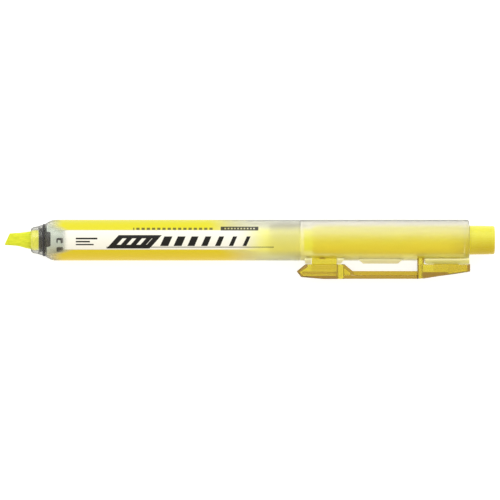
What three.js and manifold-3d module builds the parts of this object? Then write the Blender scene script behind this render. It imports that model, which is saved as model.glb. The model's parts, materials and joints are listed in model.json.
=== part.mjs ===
// A retractable highlighter with its nib out, lying on a table on its barrel and the edge of its clip.
//
// Each piece is drawn in the pen's own frame, in millimetres: +X runs along the axis from the nib to
// the push button, the clip hangs on the -Y side, and +Z faces a reader of the printed side. "Depth" is
// the distance from the axis towards the clip, so it is minus Y. The last lines roll the pen about its
// axis until barrel and clip both touch the table, and put the origin at the bottom centre of its box.

import * as THREE from "three";
import { mergeVertices } from "three/addons/utils/BufferGeometryUtils.js";
import Module from "manifold-3d";

const wasm = await Module();
wasm.setup();

// ---- Driving dimensions ----------------------------------------------------------------------------

const HALF_LENGTH = 73; // the pen is 146 mm long with its nib out
const ROUND = 48; // facets around the outer shells
const ROUND_INSIDE = 32; // facets around the pieces inside them

// Running gaps
const SLIDING_GAP = 0.1; // around everything that slides
const SEATED_GAP = 0.05; // between pieces that only rest on each other

// Barrel
const BARREL_R = 6.1;
const BARREL_WALL = 1.0;
const BORE_R = BARREL_R - BARREL_WALL;
const BARREL_FRONT = -61;
const FRONT_MOUTH_R = 4.2; // the hole in the cone that takes the nozzle's spigot
const FRONT_LAND_END = BARREL_FRONT + 0.6;
const CONE_FRONT_R = 4.86;
const CONE_END = -58.4;
const SEAM = 15; // where the front and rear barrels meet
const SPIGOT_LENGTH = 9; // how far the rear barrel reaches into the front one
const REAR_END = 65.4;
const REAR_WALL = 1.5;

// Push button and its slider
const BUTTON_R = 4.35;
const BUTTON_END_R = 4.25;
const BUTTON_END = HALF_LENGTH;
const BUTTON_WALL = 0.55;
const SLIDER_FRONT = 18.8;
const SLIDER_END = 48.75;
const SLIDER_BORE_R = 3.1;
const SOCKET_R = 3.6; // the slider's socket for the ink cartridge
const SOCKET_END = 28.3;
const STOP_LUG_R = 4.95;
const STOP_LUG_LENGTH = 1.4;

// Ink cartridge and nib
const NIB_TIP = -HALF_LENGTH;
const NIB_R = 2.65;
const NIB_BACK = -61.1;
const NIB_ROD_R = 1.6;
const HOLDER_FRONT = -64.9;
const HOLDER_R = 2.98;
const CARTRIDGE_R = 3.4;
const CARTRIDGE_BORE_R = 2.8;
const CARTRIDGE_FRONT = -54.3;
const CARTRIDGE_END = 26;
const COLLAR_FRONT = -13; // the collar that the return spring pushes
const COLLAR_LENGTH = 1.5;
const COLLAR_R = 4.3;
const RESERVOIR_R = 2.65;
const RESERVOIR_FRONT = -50.5;
const RESERVOIR_END = 22;

// Nozzle and the valve that seals the nib when it is drawn in
const NOZZLE_FRONT = -65.1;
const NOZZLE_SHOULDER = -61.6;
const NOZZLE_MOUTH_R = 3.2;
const VALVE_FRONT = -62.6;
const VALVE_ROOT = -60.3;
const VALVE_END = -54.9;
const VALVE_BODY_R = 4.15;
const VALVE_RING_R = 3.72;
const LIPS_R = 3.5;
const LIPS_END = -56.25;

// Sealing chamber
const CHAMBER_R = 4.9;
const CHAMBER_BORE_R = 4.25;
const CHAMBER_FRONT = -60.15;
const CHAMBER_REAR = -31.6;
const CHAMBER_CAP_R = 4.25; // the part of the rear cap that plugs into the chamber
const CHAMBER_CAP_END = -31;
const SEAL_SEAT = -34.6; // the shoulder that the rear seal is clamped against
const SEAL_ROOM = 1.0;

// Return spring
const SPRING_R = 4.2;
const WIRE_R = 0.25;
const SPRING_TURNS = 9;

// Clip: stations along the pen and depths from its axis
const CLIP_NOSE = 14;
const CLIP_BLOCK_END = 27.9;
const CLIP_GUSSET_END = 30.5;
const CLIP_HINGE = 49.75;
const CLIP_END = 65.65;
const CLIP_INNER = 9.2;
const CLIP_OUTER = 11.65;
const CLIP_BLOCK_HALF = 3.1; // half the width of the two wide blocks
const CLIP_BAR_HALF = 2.4;
const CLIP_EDGE = 0.6; // chamfer along the outer edges
const HINGE_GAP = 0.3;
const LUG_DEPTH = 7.05; // the two lugs that flank the claw's slot
const PAD_DEPTH = 7.0; // the pad that the clip presses cloth against
const BOSS_DEPTH = 7.1; // the boss that carries the clip's foot
const BLOCK_TOP = LUG_DEPTH + SLIDING_GAP; // the front block's face towards the barrel

// ---- Tools ------------------------------------------------------------------------------------------

// A mesh's geometry as a manifold-3d solid.
function solidOf(geometry) {
  const bare = geometry.index ? geometry.toNonIndexed() : geometry.clone();
  for (const name of Object.keys(bare.attributes)) {
    if (name !== "position") bare.deleteAttribute(name);
  }
  const merged = mergeVertices(bare, 1e-4);
  return new wasm.Manifold(
    new wasm.Mesh({
      numProp: 3,
      vertProperties: new Float32Array(merged.attributes.position.array),
      triVerts: new Uint32Array(merged.index.array),
    }),
  );
}

// A manifold-3d solid as a geometry.
function geometryOf(solid) {
  const mesh = solid.getMesh();
  const geometry = new THREE.BufferGeometry();
  geometry.setAttribute("position", new THREE.BufferAttribute(new Float32Array(mesh.vertProperties), 3));
  geometry.setIndex(new THREE.BufferAttribute(new Uint32Array(mesh.triVerts), 1));
  geometry.computeVertexNormals();
  return geometry;
}

// Turns a closed outline of [station, radius] points about the pen's axis.
function revolve(outline, facets = ROUND_INSIDE) {
  const points = outline.map(([x, r]) => new THREE.Vector2(r, x));
  if (THREE.ShapeUtils.area(points) < 0) points.reverse();
  points.push(points[0].clone());
  return new THREE.LatheGeometry(points, facets).rotateZ(-Math.PI / 2);
}

// A ring of rectangular section between two stations and two radii.
function ring(front, back, innerR, outerR, facets = ROUND_INSIDE) {
  return revolve([[front, innerR], [front, outerR], [back, outerR], [back, innerR]], facets);
}

// Extrudes an outline of [station, depth] points across the pen, halfWidth to each side.
function slab(outline, halfWidth) {
  const shape = new THREE.Shape(outline.map(([x, depth]) => new THREE.Vector2(x, -depth)));
  const options = { depth: 2 * halfWidth, bevelEnabled: false, curveSegments: 8 };
  return new THREE.ExtrudeGeometry(shape, options).translate(0, 0, -halfWidth);
}

// A slab between two stations and two depths.
function block(front, back, inner, outer, halfWidth) {
  return slab([[front, inner], [back, inner], [back, outer], [front, outer]], halfWidth);
}

function join(...geometries) {
  return geometries.map(solidOf).reduce((all, next) => all.add(next));
}

function cut(solid, ...geometries) {
  return geometries.map(solidOf).reduce((left, tool) => left.subtract(tool), solid);
}

// ---- Shells -----------------------------------------------------------------------------------------

function frontBarrel() {
  const rear = SEAM - SEATED_GAP;
  return revolve(
    [
      [BARREL_FRONT, FRONT_MOUTH_R],
      [BARREL_FRONT, CONE_FRONT_R],
      [CONE_END - 1, 5.8],
      [CONE_END - 0.1, 6.04],
      [CONE_END + 0.5, BARREL_R],
      [rear, BARREL_R],
      [rear, BORE_R],
      [CONE_END, BORE_R],
      [FRONT_LAND_END + 0.15, 4.52],
      [FRONT_LAND_END, FRONT_MOUTH_R],
    ],
    ROUND,
  );
}

// The rear barrel's tube with the spigot that plugs into the front barrel and the guide hole at its end.
function rearTube() {
  const guideR = BUTTON_R + SLIDING_GAP;
  const spigotR = BORE_R - SLIDING_GAP;
  const shoulder = SEAM + SEATED_GAP;
  return revolve(
    [
      [SEAM - SPIGOT_LENGTH, guideR],
      [SEAM - SPIGOT_LENGTH, spigotR],
      [shoulder, spigotR],
      [shoulder, BARREL_R],
      [REAR_END - 0.5, BARREL_R],
      [REAR_END, BARREL_R - 0.5],
      [REAR_END, guideR],
      [REAR_END - REAR_WALL, guideR],
      [REAR_END - REAR_WALL, BORE_R],
      [SEAM + 1, BORE_R],
      [SEAM + 0.6, guideR],
    ],
    ROUND,
  );
}

// The boss under the clip's foot, with a round corner at its front.
function clipBoss() {
  const front = 52.2;
  const corner = 1.3;
  const outline = new THREE.Shape();
  outline.moveTo(front, -5.2);
  outline.lineTo(front, -(BOSS_DEPTH - corner));
  outline.absarc(front + corner, -(BOSS_DEPTH - corner), corner, Math.PI, 1.5 * Math.PI, false);
  outline.lineTo(REAR_END, -BOSS_DEPTH);
  outline.lineTo(REAR_END, -5.2);
  const halfWidth = 2.6;
  const options = { depth: 2 * halfWidth, bevelEnabled: false, curveSegments: 6 };
  return new THREE.ExtrudeGeometry(outline, options).translate(0, 0, -halfWidth);
}

function rearBarrel() {
  const root = 5.2; // where the outside features start, inside the wall
  const pad = slab([[32, root], [33.8, PAD_DEPTH], [44.2, PAD_DEPTH], [46, root]], 2.4);
  const frontLug = block(16.5, 18.3, root, LUG_DEPTH, 2.9);
  const rearLug = slab([[26, root], [26, LUG_DEPTH], [27.2, LUG_DEPTH], [28.4, root]], 2.9);
  const clawSlot = block(18.3, 26, 4.2, 8, 2.8);
  const heelSlot = block(49.8, 52.1, 4.4, 8, 2.75);
  const footPocket = block(54.5, 62.5, 6.3, 8, 1.5);
  return geometryOf(cut(join(rearTube(), pad, frontLug, rearLug, clipBoss()), clawSlot, heelSlot, footPocket));
}

function nozzle() {
  const spigotR = FRONT_MOUTH_R - 0.08;
  const spigotEnd = FRONT_LAND_END - 0.02;
  return revolve(
    [
      [NOZZLE_FRONT, NOZZLE_MOUTH_R],
      [NOZZLE_FRONT, 3.7],
      [NOZZLE_FRONT + 0.2, 3.87],
      [-62.9, 4.22],
      [NOZZLE_SHOULDER - 0.15, 4.64],
      [NOZZLE_SHOULDER, 4.72],
      [NOZZLE_SHOULDER, spigotR],
      [spigotEnd, spigotR],
      [spigotEnd, 3.8],
      [VALVE_FRONT - SLIDING_GAP, 3.8],
      [VALVE_FRONT - SLIDING_GAP, 3.45],
    ],
    ROUND,
  );
}

function noseGasket() {
  const front = NOZZLE_SHOULDER + SEATED_GAP;
  const back = BARREL_FRONT - SEATED_GAP;
  return revolve(
    [
      [front, 4.22],
      [front, 4.8],
      [(front + back) / 2, 4.92],
      [back, 4.8],
      [back, 4.22],
    ],
    ROUND,
  );
}

// ---- Sealing chamber and its valve ------------------------------------------------------------------

function sealChamber() {
  const neckR = CARTRIDGE_R + SLIDING_GAP;
  const coneEnd = CONE_END - 0.1;
  const capBoreR = CHAMBER_CAP_R + SLIDING_GAP;
  const tube = revolve(
    [
      [CHAMBER_FRONT, 3.95],
      [CHAMBER_FRONT, 4.42],
      [coneEnd, CHAMBER_R],
      [CHAMBER_REAR, CHAMBER_R],
      [CHAMBER_REAR, capBoreR],
      [SEAL_SEAT, capBoreR],
      [SEAL_SEAT, neckR],
      [SEAL_SEAT - 1.2, neckR],
      [SEAL_SEAT - 1.2, CHAMBER_BORE_R],
      [coneEnd, CHAMBER_BORE_R],
    ],
    ROUND,
  );
  // Two openings beside a snap tongue, on the printed side.
  const front = -57.4;
  const back = -55.3;
  const opening = (depth, half) =>
    new THREE.BoxGeometry(back - front, 2 * half, 4).translate((front + back) / 2, -depth, 4.5);
  return geometryOf(cut(solidOf(tube), opening(0.15, 0.75), opening(2.75, 0.75)));
}

// Closes the chamber's rear, clamps the seal there, and is the return spring's fixed seat.
function chamberCap() {
  const neckR = CARTRIDGE_R + SLIDING_GAP;
  const front = SEAL_SEAT + SEAL_ROOM;
  const flange = CHAMBER_REAR + SEATED_GAP;
  return revolve(
    [
      [front, neckR],
      [front, CHAMBER_CAP_R],
      [flange, CHAMBER_CAP_R],
      [flange, CHAMBER_R],
      [CHAMBER_CAP_END, CHAMBER_R],
      [CHAMBER_CAP_END, neckR],
    ],
    ROUND,
  );
}

// The outer half of the valve, which backs the lips.
function valveBody() {
  const boreR = LIPS_R + SEATED_GAP;
  return revolve([
    [VALVE_ROOT, boreR],
    [VALVE_ROOT, VALVE_BODY_R - 0.3],
    [-58.6, VALVE_BODY_R],
    [VALVE_END, VALVE_BODY_R],
    [VALVE_END, boreR],
  ]);
}

// The valve's front ring and its two soft lips, pushed apart into a sleeve by the nib holder in them.
function valveLips() {
  const boreR = HOLDER_R + SLIDING_GAP;
  const ringEnd = VALVE_ROOT - SEATED_GAP;
  return revolve([
    [VALVE_FRONT, boreR],
    [VALVE_FRONT, VALVE_RING_R],
    [ringEnd, VALVE_RING_R],
    [ringEnd, LIPS_R],
    [LIPS_END, LIPS_R],
    [LIPS_END, boreR],
  ]);
}

// The rubber ring between the chamber's shoulder and its cap, which the cartridge slides through.
function chamberSeal() {
  const sectionR = 0.38;
  const middle = SEAL_SEAT + SEAL_ROOM / 2;
  const centreR = CARTRIDGE_R + SEATED_GAP + sectionR;
  const sides = 10;
  const outline = Array.from({ length: sides }, (_, i) => {
    const angle = (2 * Math.PI * i) / sides;
    return [middle + sectionR * Math.cos(angle), centreR + sectionR * Math.sin(angle)];
  });
  return revolve(outline);
}

// The wire of the return spring, squeezed between the chamber and the cartridge's collar.
function returnSpring() {
  class Helix extends THREE.Curve {
    getPoint(t, target = new THREE.Vector3()) {
      const start = CHAMBER_CAP_END + WIRE_R + SEATED_GAP;
      const end = COLLAR_FRONT - WIRE_R - SEATED_GAP;
      const angle = 2 * Math.PI * SPRING_TURNS * t;
      return target.set(start + (end - start) * t, SPRING_R * Math.cos(angle), SPRING_R * Math.sin(angle));
    }
  }
  const section = new THREE.Shape();
  const sides = 6;
  for (let i = 0; i < sides; i++) {
    const angle = (2 * Math.PI * i) / sides;
    section[i ? "lineTo" : "moveTo"](WIRE_R * Math.cos(angle), WIRE_R * Math.sin(angle));
  }
  const stepsPerTurn = 14;
  return new THREE.ExtrudeGeometry(section, {
    steps: SPRING_TURNS * stepsPerTurn,
    bevelEnabled: false,
    extrudePath: new Helix(),
  });
}

// ---- Ink cartridge ----------------------------------------------------------------------------------

// The fibre nib: a rod whose front is ground to a slanted chisel edge.
function nib() {
  const rod = revolve([
    [NIB_TIP, 0],
    [NIB_TIP, NIB_R],
    [NIB_BACK, NIB_R],
    [NIB_BACK, NIB_ROD_R],
    [-46.2, NIB_ROD_R],
    [-46.2, 0],
  ]);
  const past = 1; // how far the two cutting outlines run past the rod
  const side = slab(
    [
      [NIB_TIP, 1.73],
      [-71.3, -2.25],
      [-68.8, -2.28],
      [-66.8, -NIB_R - 0.05],
      [-66, -NIB_R - past],
      [-46, -NIB_R - past],
      [-46, NIB_R + past],
      [-66, NIB_R + past],
      [-67, 2.5],
      [-69.2, 1.75],
    ],
    NIB_R + past,
  );
  const edgeHalf = 1.0; // half the thickness of the writing edge
  const flare = -66.3;
  const above = new THREE.Shape(
    [
      [NIB_TIP - past, edgeHalf],
      [NIB_TIP, edgeHalf],
      [flare, NIB_R],
      [flare, NIB_R + past],
      [-46, NIB_R + past],
      [-46, -NIB_R - past],
      [flare, -NIB_R - past],
      [flare, -NIB_R],
      [NIB_TIP, -edgeHalf],
      [NIB_TIP - past, -edgeHalf],
    ].map(([x, z]) => new THREE.Vector2(x, z)),
  );
  const reach = NIB_R + past;
  const wedge = new THREE.ExtrudeGeometry(above, { depth: 2 * reach, bevelEnabled: false })
    .translate(0, 0, -reach)
    .rotateX(Math.PI / 2);
  return geometryOf(solidOf(rod).intersect(solidOf(side)).intersect(solidOf(wedge)));
}

function nibHolder() {
  const flange = CARTRIDGE_FRONT - 0.9;
  const rodBore = NIB_ROD_R + SLIDING_GAP;
  const nibBore = NIB_R + 0.06;
  return revolve([
    [HOLDER_FRONT, nibBore],
    [HOLDER_FRONT, HOLDER_R - 0.1],
    [HOLDER_FRONT + 0.25, HOLDER_R],
    [flange, HOLDER_R],
    [flange, CARTRIDGE_R],
    [CARTRIDGE_FRONT - SEATED_GAP, CARTRIDGE_R],
    [CARTRIDGE_FRONT - SEATED_GAP, CARTRIDGE_BORE_R - SLIDING_GAP],
    [-51, CARTRIDGE_BORE_R - SLIDING_GAP],
    [-51, rodBore],
    [NIB_BACK + SEATED_GAP, rodBore],
    [NIB_BACK + SEATED_GAP, nibBore],
  ]);
}

function cartridgeTube() {
  return revolve([
    [CARTRIDGE_FRONT, CARTRIDGE_BORE_R],
    [CARTRIDGE_FRONT, CARTRIDGE_R],
    [COLLAR_FRONT, CARTRIDGE_R],
    [COLLAR_FRONT, COLLAR_R],
    [COLLAR_FRONT + COLLAR_LENGTH, COLLAR_R],
    [COLLAR_FRONT + COLLAR_LENGTH, CARTRIDGE_R],
    [CARTRIDGE_END, CARTRIDGE_R],
    [CARTRIDGE_END, CARTRIDGE_BORE_R],
  ]);
}

// The bundle of fibres that holds the ink, with a hole in its front for the nib's rod.
function inkReservoir() {
  const holeR = NIB_ROD_R + SLIDING_GAP;
  const holeEnd = -45.8;
  return revolve([
    [RESERVOIR_FRONT, holeR],
    [RESERVOIR_FRONT, RESERVOIR_R],
    [RESERVOIR_END, RESERVOIR_R],
    [RESERVOIR_END, 0],
    [holeEnd, 0],
    [holeEnd, holeR],
  ]);
}

// The film that holds the bundle together.
function reservoirWrap() {
  return ring(RESERVOIR_FRONT, RESERVOIR_END, RESERVOIR_R + 0.03, CARTRIDGE_BORE_R - 0.04);
}

function cartridgeTail() {
  const flange = CARTRIDGE_END + SEATED_GAP;
  return revolve([
    [22.5, 0],
    [22.5, CARTRIDGE_BORE_R - SLIDING_GAP],
    [flange, CARTRIDGE_BORE_R - SLIDING_GAP],
    [flange, CARTRIDGE_R],
    [27.2, CARTRIDGE_R],
    [27.2, 1.5],
    [SOCKET_END - SLIDING_GAP, 1.5],
    [SOCKET_END - SLIDING_GAP, 0],
  ]);
}

// ---- Push button ------------------------------------------------------------------------------------

function knockSlider() {
  const web = 1.5; // thickness of the wall that pushes the cartridge
  const rampR = 3.85;
  const spigotR = BUTTON_R - BUTTON_WALL - SLIDING_GAP;
  const spigotEnd = SLIDER_END + 5;
  const tube = revolve(
    [
      [SLIDER_FRONT, SOCKET_R],
      [SLIDER_FRONT, rampR],
      [SLIDER_FRONT + 1.2, BUTTON_R],
      [SLIDER_END, BUTTON_R],
      [SLIDER_END, spigotR],
      [spigotEnd, spigotR],
      [spigotEnd, SLIDER_BORE_R],
      [SOCKET_END + web, SLIDER_BORE_R],
      [SOCKET_END + web, 0],
      [SOCKET_END, 0],
      [SOCKET_END, SOCKET_R],
    ],
    ROUND,
  );
  // The notch that the clip's claw drops into when the button has been pushed home.
  const notch = block(20.6, 24.2, rampR, 5, 1.9);
  // Two lugs that meet the barrel's end wall when the nib is drawn in.
  const lugFront = SLIDER_END - STOP_LUG_LENGTH;
  const lugRing = solidOf(ring(lugFront, SLIDER_END, SOCKET_R, STOP_LUG_R, ROUND));
  const lugs = lugRing.intersect(solidOf(block(lugFront - 1, SLIDER_END + 1, -1.8, 1.8, 6)));
  return geometryOf(cut(solidOf(tube).add(lugs), notch));
}

function knockButton() {
  const front = SLIDER_END + SEATED_GAP;
  const boreR = BUTTON_R - BUTTON_WALL;
  return revolve(
    [
      [front, boreR],
      [front, BUTTON_R],
      [REAR_END, BUTTON_R],
      [BUTTON_END - 1.2, BUTTON_END_R],
      [BUTTON_END - 0.6, BUTTON_END_R - 0.05],
      [BUTTON_END - 0.15, BUTTON_END_R - 0.3],
      [BUTTON_END, BUTTON_END_R - 0.7],
      [BUTTON_END, 0],
      [BUTTON_END - 1.5, 0],
      [BUTTON_END - 1.5, boreR],
    ],
    ROUND,
  );
}

// ---- Clip -------------------------------------------------------------------------------------------

// Takes the chamfer off both outer edges of a wide block: a prism along the pen for each side.
function edgeCutters(halfWidth) {
  const section = (side) =>
    new THREE.Shape(
      [
        [CLIP_OUTER - CLIP_EDGE, side * (halfWidth + 0.01)],
        [CLIP_OUTER + 1, side * (halfWidth + 0.01)],
        [CLIP_OUTER + 1, side * (halfWidth - CLIP_EDGE - 1)],
      ].map(([depth, z]) => new THREE.Vector2(-depth, z)),
    );
  const length = CLIP_END - CLIP_NOSE + 4;
  // The section lies in the YZ plane and runs along X.
  const toPenFrame = new THREE.Matrix4().makeBasis(
    new THREE.Vector3(0, 1, 0),
    new THREE.Vector3(0, 0, 1),
    new THREE.Vector3(1, 0, 0),
  );
  return [-1, 1].map((side) =>
    new THREE.ExtrudeGeometry(section(side), { depth: length, bevelEnabled: false })
      .applyMatrix4(toPenFrame)
      .translate(CLIP_NOSE - 2, 0, 0),
  );
}

// The springy arm: its front block, the claw that reaches into the barrel, the gusset and the bar.
function clipArm() {
  const arm = join(
    slab(
      [
        [CLIP_NOSE, 9.3],
        [16.6, BLOCK_TOP],
        [CLIP_BLOCK_END, BLOCK_TOP],
        [CLIP_BLOCK_END, CLIP_OUTER],
        [22, CLIP_OUTER],
        [15.3, 11.05],
      ],
      CLIP_BLOCK_HALF,
    ),
    slab(
      [
        [CLIP_BLOCK_END - 1, BLOCK_TOP],
        [CLIP_BLOCK_END + 0.3, BLOCK_TOP],
        [CLIP_GUSSET_END, CLIP_INNER],
        [CLIP_GUSSET_END + 1, CLIP_OUTER],
        [CLIP_BLOCK_END - 1, CLIP_OUTER],
      ],
      CLIP_BAR_HALF - 0.1,
    ),
    block(CLIP_GUSSET_END - 0.5, CLIP_HINGE - HINGE_GAP / 2, CLIP_INNER, CLIP_OUTER - 0.1, CLIP_BAR_HALF),
    block(18.9, 25.6, 5.4, 8, 2.5),
    slab([[20.8, 4.6], [22.4, 4.6], [23.6, 5.6], [20.8, 5.6]], 1.6),
  );
  return geometryOf(cut(arm, ...edgeCutters(CLIP_BLOCK_HALF)));
}

// The clip's fixed foot: its heel goes through the barrel's wall and its tenon into the boss.
function clipFoot() {
  const front = CLIP_HINGE + HINGE_GAP / 2;
  const top = BOSS_DEPTH + SLIDING_GAP;
  const foot = join(
    slab(
      [
        [front, top],
        [CLIP_END, top],
        [CLIP_END, 9.4],
        [52.2, 11.45],
        [front, 11.6],
      ],
      CLIP_BLOCK_HALF,
    ),
    block(front, 51.9, 5, 9, 2.6),
    block(54.7, 62.3, 6.5, 9, 1.3),
  );
  return geometryOf(cut(foot, ...edgeCutters(CLIP_BLOCK_HALF)));
}

// ---- The pen ----------------------------------------------------------------------------------------

const plastic = (color, roughness = 0.35) =>
  new THREE.MeshStandardMaterial({ color, roughness, metalness: 0 });
const FINISH = {
  clear: () => plastic(0xdfe2dc, 0.1),
  frosted: () => plastic(0xe6e4cf, 0.5),
  milky: () => plastic(0xd5d8cf, 0.45),
  rubber: () => plastic(0x2b2b30, 0.7),
  yellow: () => plastic(0xe8d930, 0.35),
  yellowClear: () => plastic(0xd8c23a, 0.1),
  fibre: () => plastic(0xdde22f, 0.9),
  ink: () => plastic(0xe3ea3c, 0.9),
  film: () => plastic(0xeef0dc, 0.2),
  steel: () => new THREE.MeshStandardMaterial({ color: 0xb9bcc0, roughness: 0.3, metalness: 1 }),
};

const PIECES = [
  ["front_barrel", frontBarrel(), FINISH.clear],
  ["rear_barrel", rearBarrel(), FINISH.frosted],
  ["nozzle", nozzle(), FINISH.clear],
  ["nose_gasket", noseGasket(), FINISH.rubber],
  ["seal_chamber", sealChamber(), FINISH.milky],
  ["chamber_cap", chamberCap(), FINISH.milky],
  ["valve_body", valveBody(), FINISH.rubber],
  ["valve_lips", valveLips(), FINISH.rubber],
  ["chamber_seal", chamberSeal(), FINISH.rubber],
  ["return_spring", returnSpring(), FINISH.steel],
  ["nib", nib(), FINISH.fibre],
  ["nib_holder", nibHolder(), FINISH.yellowClear],
  ["cartridge_tube", cartridgeTube(), FINISH.yellowClear],
  ["ink_reservoir", inkReservoir(), FINISH.ink],
  ["reservoir_wrap", reservoirWrap(), FINISH.film],
  ["cartridge_tail", cartridgeTail(), FINISH.yellow],
  ["knock_slider", knockSlider(), FINISH.yellow],
  ["knock_button", knockButton(), FINISH.yellow],
  ["clip_arm", clipArm(), FINISH.yellowClear],
  ["clip_foot", clipFoot(), FINISH.yellowClear],
];

const pen = new THREE.Group();
for (const [name, geometry, finish] of PIECES) {
  const mesh = new THREE.Mesh(geometry, finish());
  mesh.name = name;
  pen.add(mesh);
}

// Rolled until the clip block's lower edge is level with the underside of the barrel.
const edgeDepth = CLIP_OUTER - CLIP_EDGE;
const reach = Math.hypot(edgeDepth, CLIP_BLOCK_HALF);
pen.rotation.x = Math.asin(BARREL_R / reach) - Math.atan2(CLIP_BLOCK_HALF, edgeDepth);
pen.updateMatrixWorld(true);
const box = new THREE.Box3().setFromObject(pen, true);
const centre = box.getCenter(new THREE.Vector3());
pen.position.set(-centre.x, -centre.y, -box.min.z);

const highlighter = new THREE.Group();
highlighter.add(pen);

export default highlighter;
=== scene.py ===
"""A retractable highlighter lying on a table with its nib out: its looks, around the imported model.

Every piece is drawn in the pen's own frame in millimetres and then moved into the row frame in metres.
In the pen's frame +X runs along the axis from the nib to the push button, the clip hangs on the -Y side
and +Z faces a reader of the printed side. "Depth" is the distance from the axis towards the clip: -Y.
"""

import json
import math
import random

import bmesh
import bpy
from mathutils import Matrix, Vector


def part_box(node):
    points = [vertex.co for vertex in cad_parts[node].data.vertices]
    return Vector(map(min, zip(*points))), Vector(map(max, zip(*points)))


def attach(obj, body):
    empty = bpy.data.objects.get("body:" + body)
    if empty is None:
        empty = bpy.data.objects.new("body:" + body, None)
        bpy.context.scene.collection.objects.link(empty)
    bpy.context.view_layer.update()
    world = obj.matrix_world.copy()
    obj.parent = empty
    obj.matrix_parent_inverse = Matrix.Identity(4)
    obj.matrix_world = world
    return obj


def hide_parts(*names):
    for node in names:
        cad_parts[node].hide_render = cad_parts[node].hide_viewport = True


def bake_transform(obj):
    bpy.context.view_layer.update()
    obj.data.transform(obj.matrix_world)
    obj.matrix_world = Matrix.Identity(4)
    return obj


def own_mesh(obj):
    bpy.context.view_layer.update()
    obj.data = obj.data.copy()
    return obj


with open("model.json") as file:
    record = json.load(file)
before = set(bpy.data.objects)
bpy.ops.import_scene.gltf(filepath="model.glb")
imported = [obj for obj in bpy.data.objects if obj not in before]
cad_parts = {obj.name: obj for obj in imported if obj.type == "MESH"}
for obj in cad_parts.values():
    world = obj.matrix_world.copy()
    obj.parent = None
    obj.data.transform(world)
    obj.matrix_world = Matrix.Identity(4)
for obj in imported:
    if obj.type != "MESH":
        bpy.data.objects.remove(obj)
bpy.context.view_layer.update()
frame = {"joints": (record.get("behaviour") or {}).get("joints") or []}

# ---- The pen's own frame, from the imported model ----

MM = 0.001
ALONG = Vector((1, 0, 0))
HINGE = next(joint for joint in frame["joints"] if joint["name"] == "clip_flex")
READER = Vector(HINGE["axis"]).normalized()
ACROSS = READER.cross(ALONG)


def pen_frame():
    """The matrix that takes pen millimetres to row metres."""
    low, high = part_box("knock_button")
    middle = (low + high) / 2
    turn = Matrix((ALONG, ACROSS, READER)).transposed().to_4x4()
    return Matrix.Translation((0, middle.y, middle.z)) @ turn @ Matrix.Scale(MM, 4)


PEN = pen_frame()


def span(node):
    """The stations, in pen millimetres, where a CAD node starts and ends."""
    low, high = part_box(node)
    return low.x / MM, high.x / MM


def spot(x, depth=0.0, z=0.0):
    """A point of the pen's frame, in the row frame."""
    return PEN @ Vector((x, -depth, z))


# Stations and radii shared by several pieces, in millimetres
NIB_TIP = span("nib")[0]
NOZZLE_FRONT = span("nozzle")[0]
BARREL_FRONT, SEAM = span("front_barrel")
REAR_END = span("rear_barrel")[1]
VALVE_FRONT = span("valve_lips")[0]
CLIP_NOSE = span("clip_arm")[0]
CLIP_END = span("clip_foot")[1]
BARREL_R = 6.09
BORE_R = 5.1
BUTTON_R = 4.34
CARTRIDGE_R = 3.39

# ---- Mesh tools ----

ROUND_STEPS = 144
NOTHING = 1e-6  # a radius or distance below this counts as none


def new_object(name, mesh):
    thing = bpy.data.objects.new(name, mesh)
    bpy.context.scene.collection.objects.link(thing)
    return thing


def from_bmesh(name, bm):
    bmesh.ops.recalc_face_normals(bm, faces=bm.faces)
    mesh = bpy.data.meshes.new(name)
    bm.to_mesh(mesh)
    bm.free()
    return new_object(name, mesh)


def rounded(corners, steps=4):
    """A closed outline in which each corner (a, b, radius) is an arc, and each corner (a, b) is sharp."""
    outline = []
    for i, corner in enumerate(corners):
        here = Vector(corner[:2])
        radius = corner[2] if len(corner) > 2 else 0
        if not radius:
            outline.append(tuple(here))
            continue
        before = Vector(corners[i - 1][:2]) - here
        after = Vector(corners[(i + 1) % len(corners)][:2]) - here
        half = before.angle(after) / 2
        trim = min(radius / math.tan(half), 0.48 * before.length, 0.48 * after.length)
        start = here + before.normalized() * trim
        end = here + after.normalized() * trim
        for k in range(steps + 1):
            t = k / steps
            # A quadratic curve that leaves and meets the sides smoothly
            outline.append(tuple(start.lerp(here, t).lerp(here.lerp(end, t), t)))
    return outline


def circle(x, r, steps):
    """Points evenly around the pen's axis."""
    angles = [2 * math.pi * k / steps for k in range(steps)]
    return [(x, r * math.cos(a), r * math.sin(a)) for a in angles]


def turned(name, corners, steps=ROUND_STEPS, arc_steps=4):
    """Turns a closed outline of (station, radius[, corner radius]) about the pen's axis."""
    bm = bmesh.new()
    rings = []
    for x, r in rounded(corners, arc_steps):
        points = circle(x, r, steps)
        if r < NOTHING:
            points = points[:1]
        rings.append([bm.verts.new(point) for point in points])
    for one, two in zip(rings, rings[1:] + rings[:1]):
        for k in range(steps):
            loop = [one[k % len(one)], one[(k + 1) % steps % len(one)]]
            loop += [two[(k + 1) % steps % len(two)], two[k % len(two)]]
            face = list(dict.fromkeys(loop))
            if len(face) > 2:
                bm.faces.new(face)
    return from_bmesh(name, bm)


def lofted(name, sections):
    """Joins rings of points, each to the next, and closes both ends."""
    bm = bmesh.new()
    rings = [[bm.verts.new(point) for point in section] for section in sections]
    for one, two in zip(rings, rings[1:]):
        for k in range(len(one)):
            n = (k + 1) % len(one)
            bm.faces.new((one[k], one[n], two[n], two[k]))
    bm.faces.new(rings[0])
    bm.faces.new(rings[-1])
    return from_bmesh(name, bm)


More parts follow.
